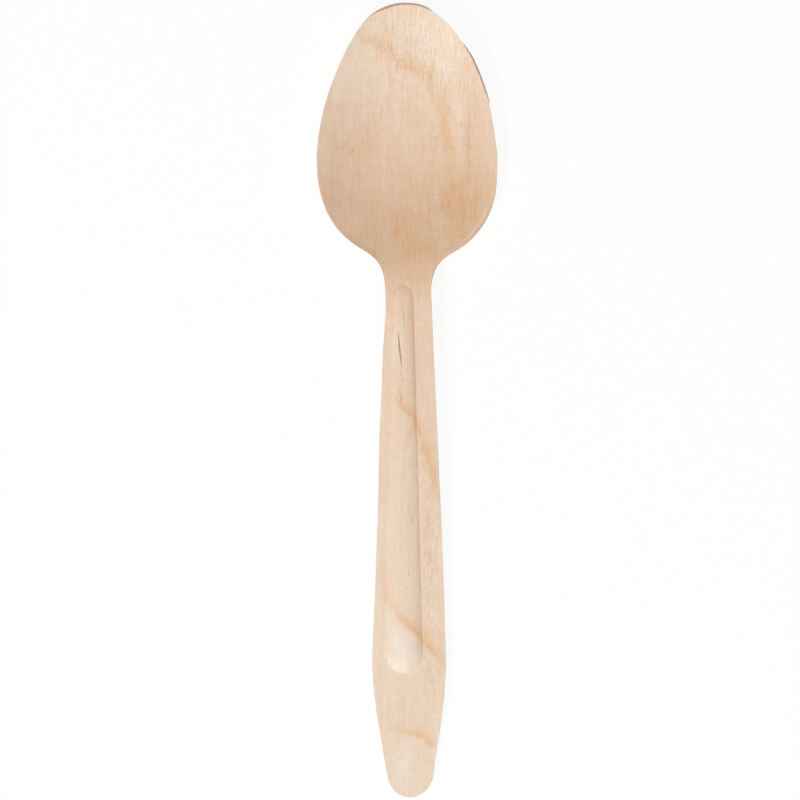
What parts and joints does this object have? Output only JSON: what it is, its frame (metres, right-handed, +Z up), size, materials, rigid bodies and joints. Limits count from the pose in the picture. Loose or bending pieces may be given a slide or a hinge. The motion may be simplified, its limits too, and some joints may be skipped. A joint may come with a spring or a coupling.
{
  "type": "wooden spoon",
  "caption": "Disposable spoon pressed from one sheet of birch veneer: shallow egg-shaped bowl, narrow neck and a flat handle stiffened by a raised rib.",
  "frame": {"origin": "on the surface that the spoon rests on, under the middle of its bounding box", "axes": "+Y runs from the end of the handle to the tip of the bowl, +Z points up out of the bowl, +X is to the right with the bowl away from the viewer"},
  "size_m": [0.0362, 0.1602, 0.0065],
  "materials": {
    "birch": "bare, knife-cut and pressed smooth, matt with a faint satin sheen"
  },
  "bodies": {
    "root": {"spoon": "birch"}
  },
  "joints": []
}
